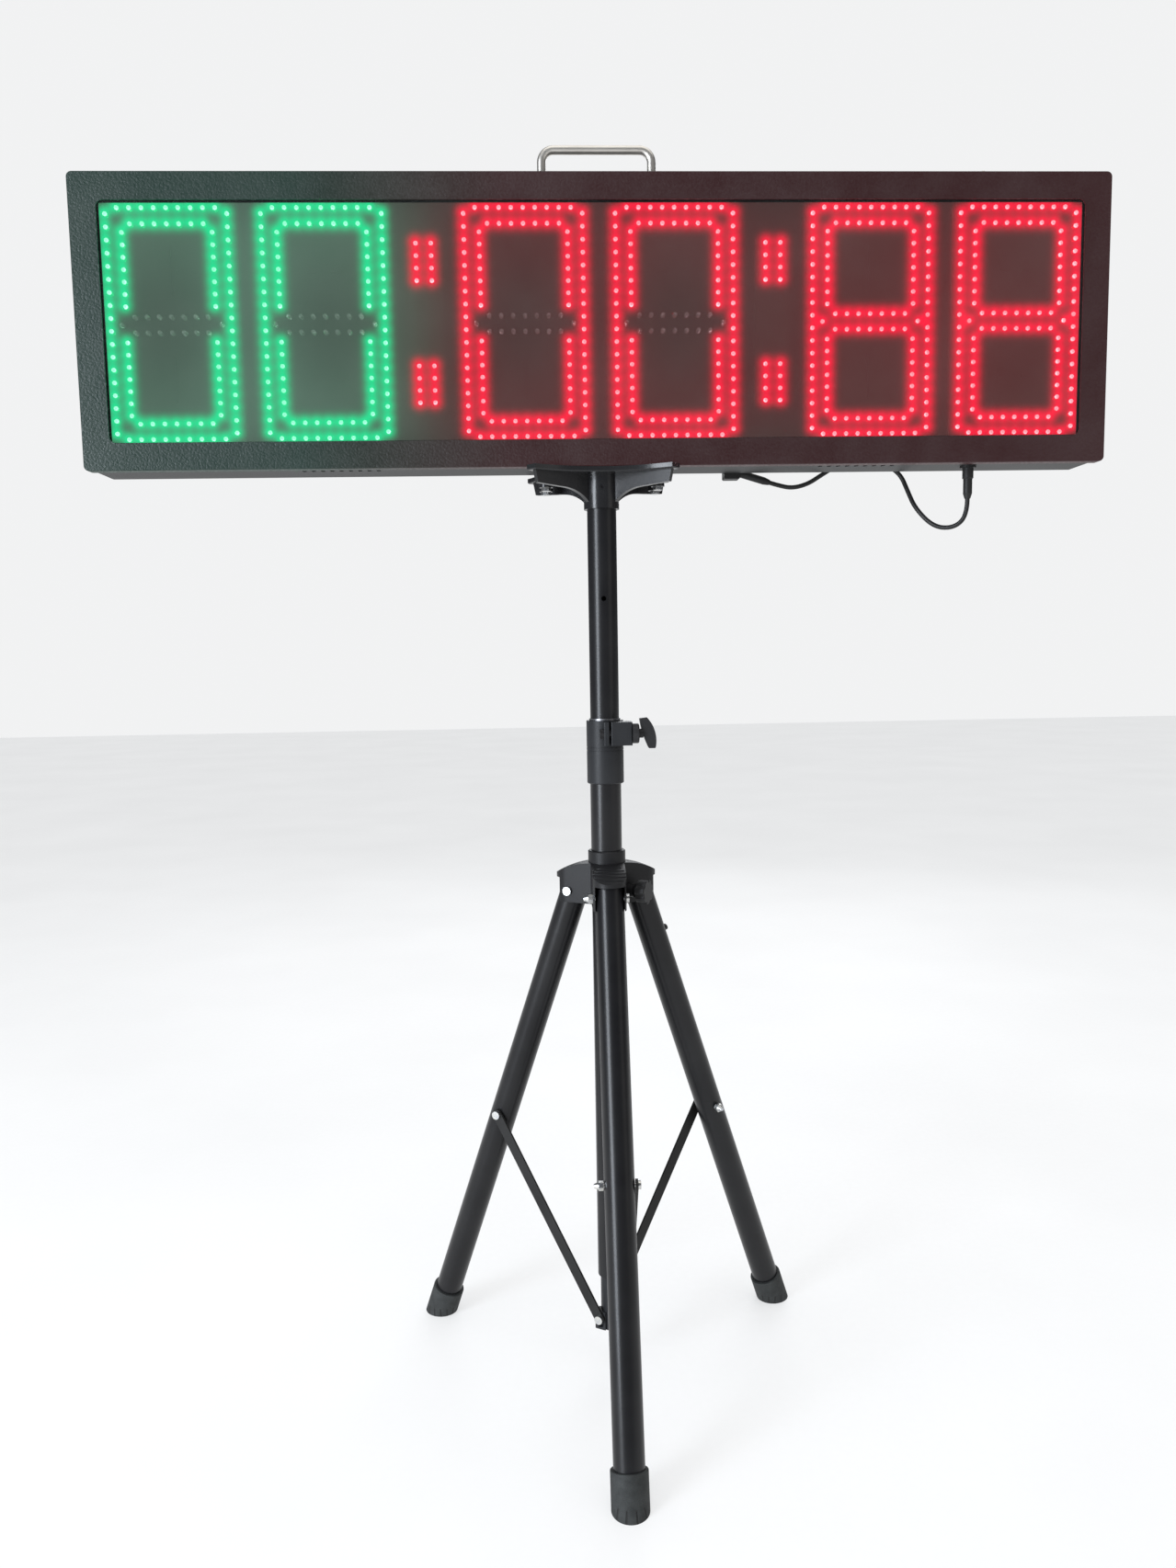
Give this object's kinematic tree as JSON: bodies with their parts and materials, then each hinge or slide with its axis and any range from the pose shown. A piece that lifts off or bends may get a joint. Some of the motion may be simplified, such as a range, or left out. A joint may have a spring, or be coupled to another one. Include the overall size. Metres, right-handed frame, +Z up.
{
  "type": "LED timing clock on a tripod stand",
  "caption": "Wide LED digit timing clock in a shallow metal case with a carrying handle, on a telescopic mast and folding tripod.",
  "frame": {"origin": "on the floor, under the middle of the stand's and head's shared bounding box", "axes": "+Z up along the mast, the display faces -Y, +X to the viewer's right"},
  "size_m": [1.185, 0.4486, 1.4965],
  "materials": {
    "bezel_black": "textured",
    "case_grey": "satin",
    "smoke_lens": "polished",
    "plate_black": "matte",
    "board_black": "satin",
    "chip_black": "matte",
    "steel_cage": "satin",
    "led_green": "clear",
    "led_red": "clear",
    "led_off": "clear",
    "nickel": "polished",
    "zinc": "zinc plated",
    "black_screw": "black oxide",
    "lead_black": "satin",
    "plug_black": "matte",
    "bracket_black": "semi gloss",
    "tube_black": "gloss",
    "clutch_plastic": "satin",
    "brass_bush": "polished",
    "hub_plastic": "satin",
    "knob_plastic": "satin",
    "foot_rubber": "matte",
    "brace_black": "satin"
  },
  "bodies": {
    "mast": {"outer_tube": "tube_black", "lower_collar": "clutch_plastic", "clutch_collar": "clutch_plastic", "guide_bush": "brass_bush", "clamp_bolt": "black_screw"},
    "clamp_knob": {"wing_knob": "knob_plastic"},
    "inner_mast": {"inner_tube": "tube_black", "inner_tube_plug": "plug_black"},
    "head": {"front_bezel": "bezel_black", "tinted_lens": "smoke_lens", "rear_case": "case_grey", "back_cover": "case_grey", "cover_screws": "zinc", "mounting_plate": "plate_black", "digit_board_1": "board_black", "digit_board_2": "board_black", "digit_board_3": "board_black", "digit_board_4": "board_black", "digit_board_5": "board_black", "digit_board_6": "board_black", "colon_board_1": "board_black", "colon_board_2": "board_black", "board_standoffs": "zinc", "leds_green": "led_green", "leds_red": "led_red", "leds_unlit": "led_off", "pin_headers": "chip_black", "controller_board": "board_black", "driver_chips": "chip_black", "power_supply": "steel_cage", "carry_handle": "nickel", "handle_fittings": "nickel", "switch_body": "nickel", "power_lead": "lead_black", "lead_plug": "plug_black", "lead_coupler": "plug_black", "lead_sockets": "plug_black", "lead_clips": "plug_black", "top_bracket": "bracket_black", "bracket_bolts": "zinc", "socket_screw": "black_screw"},
    "switch": {"switch_lever": "nickel"},
    "hub": {"hub": "hub_plastic", "hub_ring": "hub_plastic", "pivot_bolts": "zinc"},
    "lock_knob": {"hub_knob": "knob_plastic"},
    "leg_front": {"leg_front": "tube_black", "foot_front": "foot_rubber"},
    "brace_front": {"brace_front": "brace_black", "brace_bolts_front": "zinc"},
    "leg_right": {"leg_right": "tube_black", "foot_right": "foot_rubber", "leg_button": "knob_plastic"},
    "brace_right": {"brace_right": "brace_black", "brace_bolts_right": "zinc"},
    "leg_left": {"leg_left": "tube_black", "foot_left": "foot_rubber"},
    "brace_left": {"brace_left": "brace_black", "brace_bolts_left": "zinc"}
  },
  "joints": [
    {"name": "mast_height", "type": "slide", "parent": "mast", "child": "inner_mast", "axis": [0, 0, 1], "range_m": [-0.24, 0.22]},
    {"name": "head_turn", "type": "hinge", "parent": "inner_mast", "child": "head", "pos_m": [0, 0.06799, 1.11], "axis": [0, 0, 1], "continuous": true},
    {"name": "power_switch", "type": "hinge", "parent": "head", "child": "switch", "pos_m": [0.453, 0.06799, 1.452], "axis": [0, 1, 0], "range_deg": [-24, 0]},
    {"name": "clutch_knob", "type": "hinge", "parent": "mast", "child": "clamp_knob", "pos_m": [0.04, 0.03848, 0.815], "axis": [1, 0, 0], "range_deg": [0, 270]},
    {"name": "hub_slide", "type": "slide", "parent": "mast", "child": "hub", "axis": [0, 0, 1], "range_m": [0, 0.05365]},
    {"name": "hub_lock", "type": "hinge", "parent": "hub", "child": "lock_knob", "pos_m": [0.05196, 0.03798, 0.621], "axis": [0.866, -0.5, 0], "range_deg": [0, 270]},
    {"name": "leg_front_fold", "type": "hinge", "parent": "hub", "child": "leg_front", "pos_m": [0, 0.02298, 0.618], "axis": [1, 0, 0], "range_deg": [0, 16]},
    {"name": "brace_front_fold", "type": "hinge", "parent": "leg_front", "child": "brace_front", "pos_m": [0, -0.0892, 0.30978], "axis": [1, 0, 0], "range_deg": [-35.19, 0]},
    {"name": "leg_right_fold", "type": "hinge", "parent": "hub", "child": "leg_right", "pos_m": [0.03897, 0.09048, 0.618], "axis": [-0.5, 0.866, 0], "range_deg": [0, 16]},
    {"name": "brace_right_fold", "type": "hinge", "parent": "leg_right", "child": "brace_right", "pos_m": [0.13612, 0.14658, 0.30978], "axis": [-0.5, 0.866, 0], "range_deg": [-35.19, 0]},
    {"name": "leg_left_fold", "type": "hinge", "parent": "hub", "child": "leg_left", "pos_m": [-0.03897, 0.09048, 0.618], "axis": [-0.5, -0.866, 0], "range_deg": [0, 16]},
    {"name": "brace_left_fold", "type": "hinge", "parent": "leg_left", "child": "brace_left", "pos_m": [-0.13612, 0.14658, 0.30978], "axis": [-0.5, -0.866, 0], "range_deg": [-35.19, 0]}
  ],
  "couplings": [
    {"joint": "leg_front_fold", "follows": "hub_slide", "rad_per_m": 5.2051},
    {"joint": "brace_front_fold", "follows": "hub_slide", "rad_per_m": -11.448},
    {"joint": "leg_right_fold", "follows": "hub_slide", "rad_per_m": 5.2051},
    {"joint": "brace_right_fold", "follows": "hub_slide", "rad_per_m": -11.448},
    {"joint": "leg_left_fold", "follows": "hub_slide", "rad_per_m": 5.2051},
    {"joint": "brace_left_fold", "follows": "hub_slide", "rad_per_m": -11.448}
  ]
}
